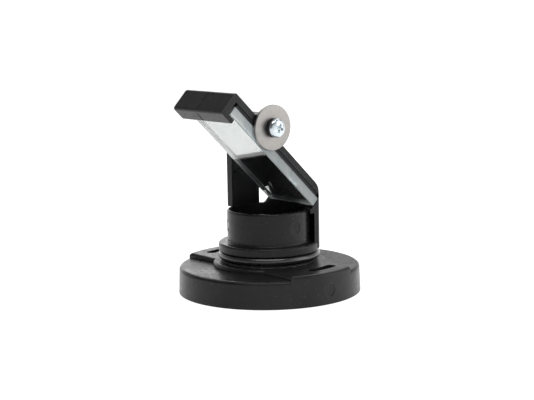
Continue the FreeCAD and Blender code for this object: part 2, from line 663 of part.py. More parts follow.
for thing in doc.Objects:
    if "Invalid" in thing.State or "Error" in thing.State:
        raise RuntimeError("%s is invalid: %s" % (thing.Name, thing.State))
os.makedirs("parts", exist_ok=True)
for piece in PIECES:
    shape = piece.Shape
    if shape.isNull() or not shape.isValid() or not shape.Solids:
        raise RuntimeError("%s has no valid solid" % piece.Label)
    box = shape.BoundBox
    print("%-18s solids %d volume %8.0f  x %.2f..%.2f y %.2f..%.2f z %.2f..%.2f" % (
        piece.Label, len(shape.Solids), shape.Volume,
        box.XMin, box.XMax, box.YMin, box.YMax, box.ZMin, box.ZMax))
    shape.exportStep(os.path.join("parts", piece.Label + ".step"))
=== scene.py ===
"""Studio scene for the swivel mirror bracket: finer pieces, finishes, floor, lights and camera."""
import logging
import math
from dataclasses import dataclass, field
from enum import Enum
from typing import Callable

import bpy
import numpy as np
from mathutils import Matrix, Vector


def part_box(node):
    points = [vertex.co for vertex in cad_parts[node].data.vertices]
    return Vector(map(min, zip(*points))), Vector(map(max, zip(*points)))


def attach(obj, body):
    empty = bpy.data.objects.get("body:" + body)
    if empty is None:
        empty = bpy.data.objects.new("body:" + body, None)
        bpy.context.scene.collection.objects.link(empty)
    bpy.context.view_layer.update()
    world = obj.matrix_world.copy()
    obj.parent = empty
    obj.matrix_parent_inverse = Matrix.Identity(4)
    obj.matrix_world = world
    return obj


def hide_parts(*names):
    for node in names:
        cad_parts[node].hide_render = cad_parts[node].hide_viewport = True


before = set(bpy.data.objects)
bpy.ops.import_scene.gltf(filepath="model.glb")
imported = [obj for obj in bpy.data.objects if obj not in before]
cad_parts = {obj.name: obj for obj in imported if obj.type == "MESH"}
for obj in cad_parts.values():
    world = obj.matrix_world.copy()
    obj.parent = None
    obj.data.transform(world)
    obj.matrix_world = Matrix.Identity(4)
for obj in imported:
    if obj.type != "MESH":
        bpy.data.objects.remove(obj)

LOG = logging.getLogger("mirror_bracket")
MM = 0.001
TILT = math.radians(44.0)


class Body(str, Enum):
    """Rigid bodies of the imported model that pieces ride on."""

    HEAD = "head"
    RETAINER = "retainer"
    WASHER = "washer"
    SCREW = "screw"


class Slot(str, Enum):
    """Material slots of the record that new pieces take their finish from."""

    RUBBER = "ring_rubber"
    WASHER = "washer_steel"
    BUSH = "bush_plastic"
    ZINC = "zinc_steel"


# ------------------------------------------------------------------ mesh helpers
def grid_faces(rows: int, cols: int, close_rows: bool, close_cols: bool) -> np.ndarray:
    """Quads over a grid of points numbered row by row.

    Args:
        rows: number of rows of points.
        cols: number of points in a row.
        close_rows: whether the last row joins the first.
        close_cols: whether the last column joins the first.

    Returns:
        An integer array of shape (faces, 4), wound so that row x column points outward.
    """
    i = np.arange(rows if close_rows else rows - 1)[:, None]
    j = np.arange(cols if close_cols else cols - 1)[None, :]
    a = i * cols + j
    b = i * cols + (j + 1) % cols
    c = ((i + 1) % rows) * cols + (j + 1) % cols
    d = ((i + 1) % rows) * cols + j
    return np.stack(np.broadcast_arrays(a, b, c, d), axis=-1).reshape(-1, 4)


def mesh_object(name: str, points: np.ndarray, faces: np.ndarray,
                caps: list[list[int]] | None = None) -> bpy.types.Object:
    """Make a smooth-shaded object at the origin from points in metres.

    Args:
        name: name of the object and its mesh.
        points: array of shape (count, 3).
        faces: integer array of shape (faces, 4).
        caps: further faces, each a list of point numbers.

    Returns:
        The new object, linked to the scene, with its faces turned outward.
    """
    mesh = bpy.data.meshes.new(name)
    mesh.from_pydata(points.reshape(-1, 3).tolist(), [], faces.tolist() + (caps or []))
    mesh.validate()
    mesh.polygons.foreach_set("use_smooth", np.ones(len(mesh.polygons), bool))
    volume = signed_volume(mesh)
    if volume < 0:
        mesh.flip_normals()
    made = bpy.data.objects.new(name, mesh)
    bpy.context.scene.collection.objects.link(made)
    return made


def signed_volume(mesh: bpy.types.Mesh) -> float:
    """Volume enclosed by a closed mesh, negative where its faces point inward.

    Args:
        mesh: the closed mesh.

    Returns:
        The sum over its triangles of a . (b x c) / 6.
    """
    mesh.calc_loop_triangles()
    corners = np.empty(len(mesh.vertices) * 3)
    mesh.vertices.foreach_get("co", corners)
    corners = corners.reshape(-1, 3)
    tri = np.empty(len(mesh.loop_triangles) * 3, dtype=np.int32)
    mesh.loop_triangles.foreach_get("vertices", tri)
    a, b, c = (corners[tri.reshape(-1, 3)[:, k]] for k in range(3))
    return float(np.einsum("ij,ij->i", a, np.cross(b, c)).sum() / 6.0)


def rounded_profile(corners: list[tuple[float, float, float]], steps: int = 6) -> np.ndarray:
    """Closed outline with each corner replaced by an arc.

    Args:
        corners: (x, y, radius) for each corner, in order.
        steps: points on each arc, fewer where the radius is zero.

    Returns:
        Array of shape (count, 2).
    """
    out: list[np.ndarray] = []
    count = len(corners)
    for k, (x, y, radius) in enumerate(corners):
        here = np.array([x, y])
        before = np.array(corners[k - 1][:2]) - here
        after = np.array(corners[(k + 1) % count][:2]) - here
        u = before / np.linalg.norm(before)
        v = after / np.linalg.norm(after)
        half = math.acos(float(np.clip(u @ v, -1, 1))) / 2
        if radius <= 0 or half > 1.55:
            out.append(here[None, :])
            continue
        reach = radius / math.tan(half)
        middle = (u + v) / np.linalg.norm(u + v)
        centre = here + middle * radius / math.sin(half)
        start = here + u * reach - centre
        end = here + v * reach - centre
        turn = math.atan2(start[0] * end[1] - start[1] * end[0], start @ end)
        angles = np.linspace(0, turn, steps)[:, None]
        out.append(centre + start * np.cos(angles) + np.array([-start[1], start[0]]) * np.sin(angles))
    return np.concatenate(out)


def lathe(name: str, profile: np.ndarray, around: int, place: Callable[[np.ndarray, np.ndarray,
          np.ndarray], np.ndarray], wobble: Callable[[np.ndarray, np.ndarray], np.ndarray] | None = None
          ) -> bpy.types.Object:
    """Revolve a closed profile, with an optional small offset that varies round it.

    The surface is p(t, a) = place(r(t) + w(t, a), a, z(t)), where (r, z) is the profile and
    w the wobble.

    Args:
        name: name of the object.
        profile: closed outline of shape (count, 2), as radius and height in millimetres.
        around: number of steps round.
        place: maps radius, angle and height arrays to points in metres.
        wobble: maps profile number and angle arrays to a radius offset in millimetres.

    Returns:
        The new object.
    """
    angle = np.linspace(0, 2 * math.pi, around, endpoint=False)[:, None]
    radius = np.repeat(profile[None, :, 0], around, axis=0)
    height = np.repeat(profile[None, :, 1], around, axis=0)
    if wobble is not None:
        radius = radius + wobble(np.arange(len(profile))[None, :], angle)
    points = place(radius, np.broadcast_to(angle, radius.shape), height)
    return mesh_object(name, points, grid_faces(around, len(profile), True, True))


def about_z(radius: np.ndarray, angle: np.ndarray, height: np.ndarray) -> np.ndarray:
    """Place lathe points about the swivel axis: (r cos a, r sin a, z).

    Args:
        radius: distances from the axis in millimetres.
        angle: angles in radians.
        height: heights in millimetres.

    Returns:
        Points in metres.
    """
    return np.stack([radius * np.cos(angle), radius * np.sin(angle), height], axis=-1) * MM


def axis_of(node: str) -> tuple[float, float]:
    """Y and Z of the middle of a CAD node's box, in millimetres.

    Args:
        node: name of the CAD node.

    Returns:
        The two coordinates of the axis along X through it.
    """
    low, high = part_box(node)
    middle = (low + high) / (2 * MM)
    return middle.y, middle.z


def about_x(y: float, z: float) -> Callable[[np.ndarray, np.ndarray, np.ndarray], np.ndarray]:
    """Placer for lathe points about an axis along X: (h, y + r cos a, z + r sin a).

    Args:
        y: Y of the axis in millimetres.
        z: Z of the axis in millimetres.

    Returns:
        A function of radius, angle and distance along X.
    """
    def place(radius: np.ndarray, angle: np.ndarray, height: np.ndarray) -> np.ndarray:
        return np.stack([height, y + radius * np.cos(angle), z + radius * np.sin(angle)], axis=-1) * MM
    return place


# ------------------------------------------------------------------ finishes
def set_range(node: bpy.types.Node, low: float, high: float, to_low: float, to_high: float) -> None:
    """Set the two ranges of a Map Range node.

    Args:
        node: the node.
        low: start of the range read.
        high: end of the range read.
        to_low: value given at low.
        to_high: value given at high.
    """
    for key, value in (("From Min", low), ("From Max", high), ("To Min", to_low), ("To Max", to_high)):
        node.inputs[key].default_value = value


class Graph:
    """A material's node tree with short ways to add and join nodes."""

    def __init__(self, name: str) -> None:
        self.material = bpy.data.materials.new(name)
        self.material.use_nodes = True
        self.tree = self.material.node_tree
        self.tree.nodes.clear()
        self.output = self.add("ShaderNodeOutputMaterial")
        self.shader = self.add("ShaderNodeBsdfPrincipled")
        self.tree.links.new(self.shader.outputs[0], self.output.inputs["Surface"])
        self.where = self.add("ShaderNodeTexCoord").outputs["Object"]

    def add(self, kind: str, **values: object) -> bpy.types.Node:
        """Add a node and set its properties.

        Args:
            kind: the node's type name.
            values: properties to set.

        Returns:
            The node.
        """
        node = self.tree.nodes.new(kind)
        for key, value in values.items():
            setattr(node, key, value)
        return node

    def join(self, source: bpy.types.NodeSocket, target: bpy.types.NodeSocket) -> None:
        """Link an output to an input.

        Args:
            source: the output.
            target: the input.
        """
        self.tree.links.new(source, target)

    def noise(self, scale: float, detail: float = 4.0, rough: float = 0.6,
              stretch: tuple[float, float, float] = (1, 1, 1)) -> bpy.types.NodeSocket:
        """Noise over the object's own coordinates.

        Args:
            scale: how many cells to a metre, roughly.
            detail: octaves.
            rough: how strongly the finer octaves count.
            stretch: factor on each axis before the noise.

        Returns:
            The noise's value.
        """
        mapping = self.add("ShaderNodeMapping")
        mapping.inputs["Scale"].default_value = stretch
        self.join(self.where, mapping.inputs["Vector"])
        node = self.add("ShaderNodeTexNoise")
        node.inputs["Scale"].default_value = scale
        node.inputs["Detail"].default_value = detail
        node.inputs["Roughness"].default_value = rough
        self.join(mapping.outputs[0], node.inputs["Vector"])
        return node.outputs["Fac"]

    def spread(self, source: bpy.types.NodeSocket, low: float, high: float,
               to_low: float, to_high: float) -> bpy.types.NodeSocket:
        """Map a range of a value to another range.

        Args:
            source: the value.
            low: start of the range read.
            high: end of the range read.
            to_low: value given at low.
            to_high: value given at high.

        Returns:
            The mapped value, clamped.
        """
        node = self.add("ShaderNodeMapRange")
        self.join(source, node.inputs["Value"])
        set_range(node, low, high, to_low, to_high)
        return node.outputs[0]

    def ramp(self, source: bpy.types.NodeSocket, stops: list[tuple[float, tuple[float, float, float]]]
             ) -> bpy.types.NodeSocket:
        """Colour ramp.

        Args:
            source: the value read.
            stops: (position, colour) pairs.

        Returns:
            The colour.
        """
        node = self.add("ShaderNodeValToRGB")
        while len(node.color_ramp.elements) < len(stops):
            node.color_ramp.elements.new(0.5)
        for element, (position, colour) in zip(node.color_ramp.elements, stops):
            element.position = position
            element.color = (*colour, 1.0)
        self.join(source, node.inputs["Fac"])
        return node.outputs["Color"]

    def mix(self, factor: bpy.types.NodeSocket, first: bpy.types.NodeSocket | tuple,
            second: bpy.types.NodeSocket | tuple, mode: str = "MIX") -> bpy.types.NodeSocket:
        """Mix two colours.

        Args:
            factor: how much of the second shows.
            first: a socket, or a colour.
            second: a socket, or a colour.
            mode: blend mode.

        Returns:
            The mixed colour.
        """
        node = self.add("ShaderNodeMix", data_type="RGBA", blend_type=mode)
        self.join(factor, node.inputs["Factor"])
        for key, value in ((6, first), (7, second)):
            if isinstance(value, tuple):
                node.inputs[key].default_value = (*value, 1.0)
            else:
                self.join(value, node.inputs[key])
        return node.outputs[2]

    def maths(self, operation: str, first: bpy.types.NodeSocket | float,
              second: bpy.types.NodeSocket | float = 0.0) -> bpy.types.NodeSocket:
        """Arithmetic on two values.

        Args:
            operation: the operation's name.
            first: a socket or a number.
            second: a socket or a number.

        Returns:
            The result.
        """
        node = self.add("ShaderNodeMath", operation=operation)
        for key, value in enumerate((first, second)):
            if isinstance(value, (int, float)):
                node.inputs[key].default_value = value
            else:
                self.join(value, node.inputs[key])
        return node.outputs[0]

    def bump(self, layers: list[tuple[bpy.types.NodeSocket, float, float]]) -> None:
        """Chain bumps into the shader's normal.

        Args:
            layers: (height, strength, distance in metres) for each layer.
        """
        last = None
        for height, strength, distance in layers:
            node = self.add("ShaderNodeBump")
            node.inputs["Strength"].default_value = strength
            node.inputs["Distance"].default_value = distance
            self.join(height, node.inputs["Height"])
            if last is not None:
                self.join(last, node.inputs["Normal"])
            last = node.outputs[0]
        self.join(last, self.shader.inputs["Normal"])

    def edge_bend(self, radius: float) -> bpy.types.NodeSocket:
        """How sharply the surface bends: a bevelled normal against the plain one.

        Args:
            radius: reach of the bevel in metres.

        Returns:
            0 on flat parts, rising toward 1 at edges.
        """
        bevel = self.add("ShaderNodeBevel", samples=4)
        bevel.inputs["Radius"].default_value = radius
        plain = self.add("ShaderNodeNewGeometry")
        dot = self.add("ShaderNodeVectorMath", operation="DOT_PRODUCT")
        self.join(bevel.outputs[0], dot.inputs[0])
        self.join(plain.outputs["Normal"], dot.inputs[1])
        return self.spread(dot.outputs["Value"], 0.995, 0.80, 0.0, 1.0)


@dataclass(frozen=True)
class MouldedPlastic:
    """Black moulded plastic: fine spark texture, faint flow marks, and paler edges that are partly
    rubbed wear and partly a painted highlight.
    """

    name: str = "moulded_black"
    dark: tuple[float, float, float] = (0.0045, 0.0045, 0.005)
    pale: tuple[float, float, float] = (0.016, 0.016, 0.0165)
    rough_low: float = 0.24
    rough_high: float = 0.40
    grain: float = 0.11
    dust: tuple[float, float, float] = (0.07, 0.07, 0.066)
    # Edge colour: partly rubbed wear, partly a painted highlight on the rounded edges.
    worn_and_highlit: tuple[float, float, float] = (0.075, 0.075, 0.075)
    wear_and_highlight_reach: float = 0.0007
    shine: float = 0.21
    rings: bool = False

    def build(self) -> bpy.types.Material:
        """Make the material.

        Returns:
            The material.
        """
        g = Graph(self.name)
        cloud = g.noise(38.0, 5.0, 0.62)
        fine = g.noise(2600.0, 3.0, 0.55)
        rubbed = g.noise(420.0, 4.0, 0.65)
        flow = g.noise(60.0, 3.0, 0.5, (1.0, 1.0, 9.0))
        speck = g.noise(900.0, 1.0, 0.4)
        scratch = g.noise(300.0, 2.0, 0.6, (1.0, 14.0, 3.0))
        base = g.ramp(cloud, [(0.30, self.dark), (0.75, self.pale)])
        specks = g.spread(speck, 0.70, 0.78, 0.0, 0.45)
        scuffs = g.spread(scratch, 0.70, 0.78, 0.0, 0.22)
        dusty = g.mix(g.maths("ADD", specks, scuffs), base, self.dust)
        # Paler colour on every rounded edge: partly rubbed wear, partly a painted highlight.
        wear_and_highlight = g.maths("MULTIPLY", g.edge_bend(self.wear_and_highlight_reach), g.spread(cloud, 0.3, 0.7, 0.25, 0.8))
        g.join(g.mix(wear_and_highlight, dusty, self.worn_and_highlit), g.shader.inputs["Base Color"])
        rough = g.maths("ADD", g.spread(cloud, 0.3, 0.7, self.rough_low, self.rough_high),
                        g.spread(rubbed, 0.3, 0.7, -0.08, 0.08))
        g.join(rough, g.shader.inputs["Roughness"])
        layers = [(fine, self.grain, 0.00006), (rubbed, 0.06, 0.00005), (flow, 0.12, 0.00025)]
        if self.rings:
            lines = g.noise(240.0, 2.0, 0.5, (0.02, 0.02, 7.0))
            layers.append((lines, 0.14, 0.00007))
        g.bump(layers)
        g.shader.inputs["Specular IOR Level"].default_value = self.shine
        return g.material


@dataclass(frozen=True)
class Rubber:
    """Smooth moulded rubber with a little grease and dust."""

    name: str = "greased_rubber"
    rough: float = 0.15
    shine: float = 0.85

    def build(self) -> bpy.types.Material:
        """Make the material.

        Returns:
            The material.
        """
        g = Graph(self.name)
        film = g.noise(85.0, 4.0, 0.6)
        fine = g.noise(1500.0, 2.0, 0.5)
        g.join(g.ramp(film, [(0.35, (0.006, 0.006, 0.0075)), (0.8, (0.020, 0.020, 0.023))]),
               g.shader.inputs["Base Color"])
        g.join(g.spread(film, 0.3, 0.7, self.rough, self.rough + 0.2), g.shader.inputs["Roughness"])
        g.bump([(fine, 0.10, 0.00005), (film, 0.06, 0.0003)])
        g.shader.inputs["Specular IOR Level"].default_value = self.shine
        return g.material


@dataclass(frozen=True)
class Metal:
    """Plated or plain metal with scratches, cloudy plating and darker stained spots."""

    name: str
    bright: tuple[float, float, float]
    dull: tuple[float, float, float]
    rough_low: float
    rough_high: float
    scratch: float = 0.2
    metallic: float = 1.0
    stretch: tuple[float, float, float] = (1.0, 1.0, 1.0)

    def build(self) -> bpy.types.Material:
        """Make the material.

        Returns:
            The material.
        """
        g = Graph(self.name)
        cloud = g.noise(210.0, 5.0, 0.65)
        lines = g.noise(1300.0, 3.0, 0.7, self.stretch)
        spots = g.noise(1100.0, 2.0, 0.5)
        colour = g.ramp(cloud, [(0.28, self.dull), (0.72, self.bright)])
        stain = g.spread(spots, 0.66, 0.78, 0.0, 0.45)
        dark = tuple(0.45 * c for c in self.dull)
        g.join(g.mix(stain, colour, dark), g.shader.inputs["Base Color"])
        rough = g.maths("ADD", g.spread(cloud, 0.3, 0.7, self.rough_low, self.rough_high),
                        g.spread(lines, 0.35, 0.65, -0.06, 0.06))
        g.join(rough, g.shader.inputs["Roughness"])
        g.shader.inputs["Metallic"].default_value = self.metallic
        g.bump([(lines, self.scratch, 0.00004), (cloud, 0.10, 0.00010)])
        return g.material


@dataclass(frozen=True)
class PlateGlass:
    """Clear plate glass with polished faces and ground edges."""

    name: str = "plate_glass"
    tint: tuple[float, float, float] = (0.96, 0.98, 0.975)
    ground: tuple[float, float, float] = (0.62, 0.70, 0.72)
    ground_pale: tuple[float, float, float] = (0.82, 0.87, 0.88)

    def build(self) -> bpy.types.Material:
        """Make the material; the ground edges are told from the faces by the normal.

        Returns:
            The material.
        """
        g = Graph(self.name)
        facing = g.add("ShaderNodeNewGeometry")
        dot = g.add("ShaderNodeVectorMath", operation="DOT_PRODUCT")
        g.join(facing.outputs["Normal"], dot.inputs[0])
        dot.inputs[1].default_value = (0.0, math.sin(TILT), math.cos(TILT))
        face = g.spread(g.maths("ABSOLUTE", dot.outputs["Value"]), 0.90, 0.97, 0.0, 1.0)
        edge = g.maths("SUBTRACT", 1.0, face)
        chips = g.noise(160.0, 4.0, 0.55, (1.0, 1.0, 0.5))
        smudge = g.noise(60.0, 3.0, 0.5)
        ground = g.mix(g.spread(chips, 0.35, 0.7, 0.0, 1.0), self.ground, self.ground_pale)
        g.join(g.mix(edge, self.tint, ground), g.shader.inputs["Base Color"])
        g.join(g.maths("SUBTRACT", 1.0, g.maths("MULTIPLY", edge, 0.30)),
               g.shader.inputs["Transmission Weight"])
        rough = g.maths("ADD", g.maths("MULTIPLY", g.spread(chips, 0.3, 0.7, 0.06, 0.20), edge),
                        g.maths("MULTIPLY", g.spread(smudge, 0.55, 0.8, 0.0, 0.02), face))
        g.join(rough, g.shader.inputs["Roughness"])
        g.bump([(g.maths("MULTIPLY", chips, edge), 0.10, 0.00008)])
        g.shader.inputs["IOR"].default_value = 1.52
        return g.material


@dataclass(frozen=True)
class Silvering:
    """Mirror silvering with a few cloudy spots, seen through the glass.

    The brightness is set low to suit this studio's lights; real silvering is near 0.9.
    """

    name: str = "silvering"
    bright: tuple[float, float, float] = (0.48, 0.49, 0.48)
    paint: tuple[float, float, float] = (0.020, 0.020, 0.021)

    def build(self) -> bpy.types.Material:
        """Make the material.

        Returns:
            The material.
        """
        g = Graph(self.name)
        facing = g.add("ShaderNodeNewGeometry")
        dot = g.add("ShaderNodeVectorMath", operation="DOT_PRODUCT")
        g.join(facing.outputs["Normal"], dot.inputs[0])
        dot.inputs[1].default_value = (0.0, -math.sin(TILT), -math.cos(TILT))
        silver = g.spread(dot.outputs["Value"], 0.90, 0.97, 0.0, 1.0)
        cloud = g.noise(90.0, 3.0, 0.5)
        pits = g.noise(1500.0, 1.0, 0.4)
        spots = g.spread(pits, 0.76, 0.82, 0.0, 0.3)
        lit = g.mix(spots, self.bright, (0.45, 0.45, 0.43))
        g.join(g.mix(silver, self.paint, lit), g.shader.inputs["Base Color"])
        polish = g.spread(cloud, 0.5, 0.8, 0.0, 0.03)
        dull = g.maths("MULTIPLY", g.maths("SUBTRACT", 1.0, silver), 0.6)
        g.join(g.maths("ADD", g.maths("MULTIPLY", polish, silver), dull), g.shader.inputs["Roughness"])
        g.join(silver, g.shader.inputs["Metallic"])
        return g.material


@dataclass(frozen=True)
class Foam:
    """Dark closed-cell foam tape."""

    name: str = "foam_tape"
    colour: tuple[float, float, float] = (0.012, 0.012, 0.013)

    def build(self) -> bpy.types.Material:
        """Make the material.

        Returns:
            The material.
        """
        g = Graph(self.name)
        cells = g.add("ShaderNodeTexVoronoi")
        cells.inputs["Scale"].default_value = 1800.0
        g.join(g.where, cells.inputs["Vector"])
        pale = tuple(2.2 * c for c in self.colour)
        g.join(g.ramp(cells.outputs["Distance"], [(0.1, self.colour), (0.7, pale)]),
               g.shader.inputs["Base Color"])
        g.join(g.spread(cells.outputs["Distance"], 0.1, 0.6, 0.75, 0.95), g.shader.inputs["Roughness"])
        g.bump([(cells.outputs["Distance"], 0.5, 0.0002)])
        return g.material


PLASTIC = MouldedPlastic()
NECK_PLASTIC = MouldedPlastic(name="moulded_black_neck", rings=True, rough_low=0.24, rough_high=0.38)
BUSH_PLASTIC = MouldedPlastic(name="moulded_black_bush", rough_low=0.36, rough_high=0.50, grain=0.15)
SLIP_PLASTIC = Metal("slip_plastic", (0.74, 0.73, 0.68), (0.66, 0.65, 0.60), 0.35, 0.5, 0.1, 0.0)
SPRING = Metal("spring_steel", (0.30, 0.31, 0.33), (0.18, 0.18, 0.19), 0.32, 0.48)
BRASS = Metal("insert_brass", (0.74, 0.55, 0.24), (0.52, 0.37, 0.15), 0.28, 0.42)
WASHER_STEEL = Metal("washer_steel", (0.36, 0.345, 0.33), (0.26, 0.25, 0.24), 0.34, 0.50, 0.25)
ZINC = Metal("zinc_plate", (0.74, 0.80, 0.84), (0.50, 0.56, 0.60), 0.14, 0.26, 0.12)


def finish_node(node: str, material: bpy.types.Material) -> None:
    """Give a CAD node a material, leaving its mesh as it is.

    Args:
        node: name of the CAD node.
        material: the material.
    """
    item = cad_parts[node]
    if not item.material_slots:
        item.data.materials.append(material)
    for place in item.material_slots:
        place.material = material
    LOG.info("node %s: %s", node, material.name)


# ------------------------------------------------------------------ sub-assemblies
@dataclass
class Mouldings:
    """The three black mouldings, kept as the CAD shapes them."""

    plain: MouldedPlastic = PLASTIC
    neck: MouldedPlastic = NECK_PLASTIC

    def build(self) -> None:
        """Dress the base cap, the neck and the cradle."""
        finish_node("base_cap", self.plain.build())
        finish_node("swivel_neck", self.neck.build())
        finish_node("mirror_cradle", MouldedPlastic(name="moulded_black_cradle").build())


@dataclass
class NeckSeals:
    """The O-ring and the hidden washers and ring of the swivel, sizes in millimetres."""

    major: float = 25.7
    section: float = 2.3
    level: float = 20.35
    flash: float = 0.05

    def build(self) -> None:
        """Build the O-ring and dress the hidden pieces."""
        self.o_ring()
        slip = SLIP_PLASTIC.build()
        for node in ("thrust_washer", "slip_washer"):
            finish_node(node, slip)
        finish_node("retaining_ring", SPRING.build())

    def o_ring(self) -> bpy.types.Object:
        """Build the O-ring as a torus that is pressed a little flat between its flanges.

        The section is (R + s cos b, z + 0.97 s sin b), with a mould flash line of height f
        where |sin b| is near one, and a slow ripple of 0.02 mm round the ring.

        Returns:
            The O-ring.
        """
        b = np.linspace(0, 2 * math.pi, 48, endpoint=False)
        flash = self.flash * np.exp(-((np.abs(np.sin(b)) - 1) / 0.004) ** 2)
        s = self.section + flash
        profile = np.stack([self.major + s * np.cos(b), self.level + 0.97 * s * np.sin(b)], axis=1)

        def ripple(_: np.ndarray, angle: np.ndarray) -> np.ndarray:
            return 0.02 * np.sin(5 * angle) + 0.012 * np.sin(13 * angle + 1.0)

        ring = lathe("neck_o_ring_fine", profile, 220, about_z, ripple)
        ring.data.materials.append(Rubber().build())
        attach(ring, Body.HEAD.value)
        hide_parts("neck_o_ring")
        LOG.info("o-ring built")
        return ring


@dataclass
class MirrorStack:
    """Glass, painted backing and foam pad."""

    glass: PlateGlass = field(default_factory=PlateGlass)
    silver: Silvering = field(default_factory=Silvering)

    def build(self) -> None:
        """Dress the three plates."""
        finish_node("mirror_glass", self.glass.build())
        finish_node("mirror_backing", self.silver.build())
        finish_node("mirror_pad", Foam().build())


@dataclass
class ScrewStack:
    """Washer, bush and screw on their axis along X, sizes in millimetres."""

    washer_radius: float = 12.0
    washer_bore: float = 4.2
    spigot: float = 4.1
    flange: float = 5.0
    bush_bore: float = 2.6
    shank: float = 2.5
    pitch: float = 0.8
    head: float = 5.0
    head_height: float = 2.8
    drive_span: float = 2.45
    drive_width: float = 1.15
    drive_turn: float = -20.0
    wing_depth: float = 1.1
    middle_depth: float = 1.9
    middle_radius: float = 1.15
    thread_depth: float = 0.42
    around: int = 240
    shaft_rows: int = 300

    def build(self) -> None:
        """Build the three pieces and dress the insert."""
        self.washer()
        self.bush()
        self.screw()
        finish_node("threaded_insert", BRASS.build())

    def washer(self) -> bpy.types.Object:
        """Build the washer: a stamped disc, rounded on its outer face and sharp on the inner.

        Returns:
            The washer.
        """
        low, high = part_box("retaining_washer")
        x0, x1 = low.x / MM, high.x / MM
        profile = rounded_profile([
            (self.washer_bore, x0, 0.08), (self.washer_radius, x0, 0.12),
            (self.washer_radius, x1, 0.42), (self.washer_bore, x1, 0.30)], 8)
        place = about_x(*axis_of("retaining_washer"))

        def dish(_: np.ndarray, angle: np.ndarray) -> np.ndarray:
            return 0.012 * np.sin(3 * angle) + 0.008 * np.sin(17 * angle)

        piece = lathe("retaining_washer_fine", profile, 180, place, dish)
        piece.data.materials.append(WASHER_STEEL.build())
        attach(piece, Body.WASHER.value)
        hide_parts("retaining_washer")
        LOG.info("washer built")
        return piece

    def bush(self) -> bpy.types.Object:
        """Build the shouldered bush with rounded moulded edges and a fine parting line.

        Returns:
            The bush.
        """
        low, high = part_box("spacer_bush")
        x0, x1 = low.x / MM, high.x / MM
        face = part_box("retaining_washer")[1].x / MM + 0.05
        profile = rounded_profile([
            (self.bush_bore, x0, 0.2), (self.spigot, x0, 0.2), (self.spigot, face, 0.05),
            (self.flange, face, 0.35), (self.flange, x1, 0.5), (self.bush_bore, x1, 0.3)], 7)

        def parting(_: np.ndarray, angle: np.ndarray) -> np.ndarray:
            return 0.04 * np.exp(-(np.sin(angle - 0.5) / 0.03) ** 2)

        piece = lathe("spacer_bush_fine", profile, 160, about_x(*axis_of("spacer_bush")), parting)
        piece.data.materials.append(BUSH_PLASTIC.build())
        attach(piece, Body.RETAINER.value)
        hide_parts("spacer_bush")
        LOG.info("bush built")
        return piece

    def recess(self, y: np.ndarray, z: np.ndarray) -> np.ndarray:
        """Depth of the cross recess at a point of the head, in millimetres.

        Each wing is a slot of half width w that ends at half span s; its walls and its
        floor, which deepens toward the middle, are blended with smooth steps.

        Args:
            y: offset from the axis along Y.
            z: offset from the axis along Z.

        Returns:
            The depth, zero outside the recess.
        """
        turn = math.radians(self.drive_turn)
        u = y * math.cos(turn) + z * math.sin(turn)
        v = -y * math.sin(turn) + z * math.cos(turn)

        def step(value: np.ndarray, soft: float) -> np.ndarray:
            t = np.clip(0.5 - value / soft, 0, 1)
            return t * t * (3 - 2 * t)

        def wing(along: np.ndarray, across: np.ndarray) -> np.ndarray:
            wall = step(np.abs(across) - self.drive_width / 2, 0.16)
            end = step(np.abs(along) - self.drive_span, 0.30)
            floor = self.wing_depth + 1.0 * np.clip(1 - np.abs(along) / self.drive_span, 0, 1)
            return wall * end * floor

        middle = self.middle_depth * step(np.hypot(u, v) - self.middle_radius, 0.5)
        return np.maximum(np.maximum(wing(u, v), wing(v, u)), middle)

    def screw(self) -> bpy.types.Object:
        """Build the screw as one closed surface: domed head with recess, and a threaded shank.

        Rows run from the tip to the middle of the head. On the shank the radius is
        shank - depth * tri(x / pitch - a / 2 pi), a helix; on the head it follows a quarter
        ellipse whose X is lowered by the recess.

        Returns:
            The screw.
        """
        low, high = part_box("mirror_screw")
        x0, top = low.x / MM, high.x / MM
        seat = top - self.head_height
        around, count_shaft = self.around, self.shaft_rows
        angle = np.linspace(0, 2 * math.pi, around, endpoint=False)[None, :]
        shaft_x = np.linspace(x0, seat - 0.8, count_shaft)[:, None]
        turn = (shaft_x / self.pitch - angle / (2 * math.pi)) % 1.0
        tooth = self.thread_depth * np.abs(2 * turn - 1)
        fade = np.clip((shaft_x - x0) / 1.0, 0, 1) * np.clip((seat - 2.2 - shaft_x) / 1.0, 0, 1)
        shaft_r = self.shank - 0.02 - tooth * fade - 0.6 * np.clip(1 - (shaft_x - x0) / 0.6, 0, 1)
        under = np.array([[seat - 0.02, self.shank - 0.02], [seat, self.shank + 0.1],
                          [seat, self.head - 0.25], [seat + 0.08, self.head - 0.08],
                          [seat + 0.25, self.head]])
        t = np.linspace(0, math.pi / 2, 26)[:, None]
        wall = seat + 0.6
        dome_x = wall + (top - wall) * np.sin(t)
        dome_r = self.head * np.cos(t) ** 0.85
        inner_r = np.linspace(float(dome_r[-4, 0]), 0.02, 70)[:, None]
        rows_x = [np.broadcast_to(shaft_x, (count_shaft, around))]
        rows_r = [shaft_r]
        rows_x.append(np.broadcast_to(under[:, :1], (len(under), around)))
        rows_r.append(np.broadcast_to(under[:, 1:], (len(under), around)))
        rim_r = np.concatenate([dome_r[:-4], inner_r])
        dome = np.interp(-rim_r[:, 0], -dome_r[:, 0], dome_x[:, 0])[:, None]
        radius = np.broadcast_to(rim_r, (len(rim_r), around))
        y_off, z_off = radius * np.cos(angle), radius * np.sin(angle)
        rows_x.append(dome - self.recess(y_off, z_off))
        rows_r.append(radius)
        x = np.concatenate(rows_x)
        r = np.concatenate(rows_r)
        place = about_x(*axis_of("mirror_screw"))
        points = place(r, np.broadcast_to(angle, r.shape), x)
        count = len(x)
        first = list(range(around))[::-1]
        last = list(range((count - 1) * around, count * around))
        piece = mesh_object("mirror_screw_fine", points, grid_faces(count, around, False, True),
                            [first, last])
        piece.data.materials.append(ZINC.build())
        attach(piece, Body.SCREW.value)
        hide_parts("mirror_screw")
        LOG.info("screw built")
        return piece


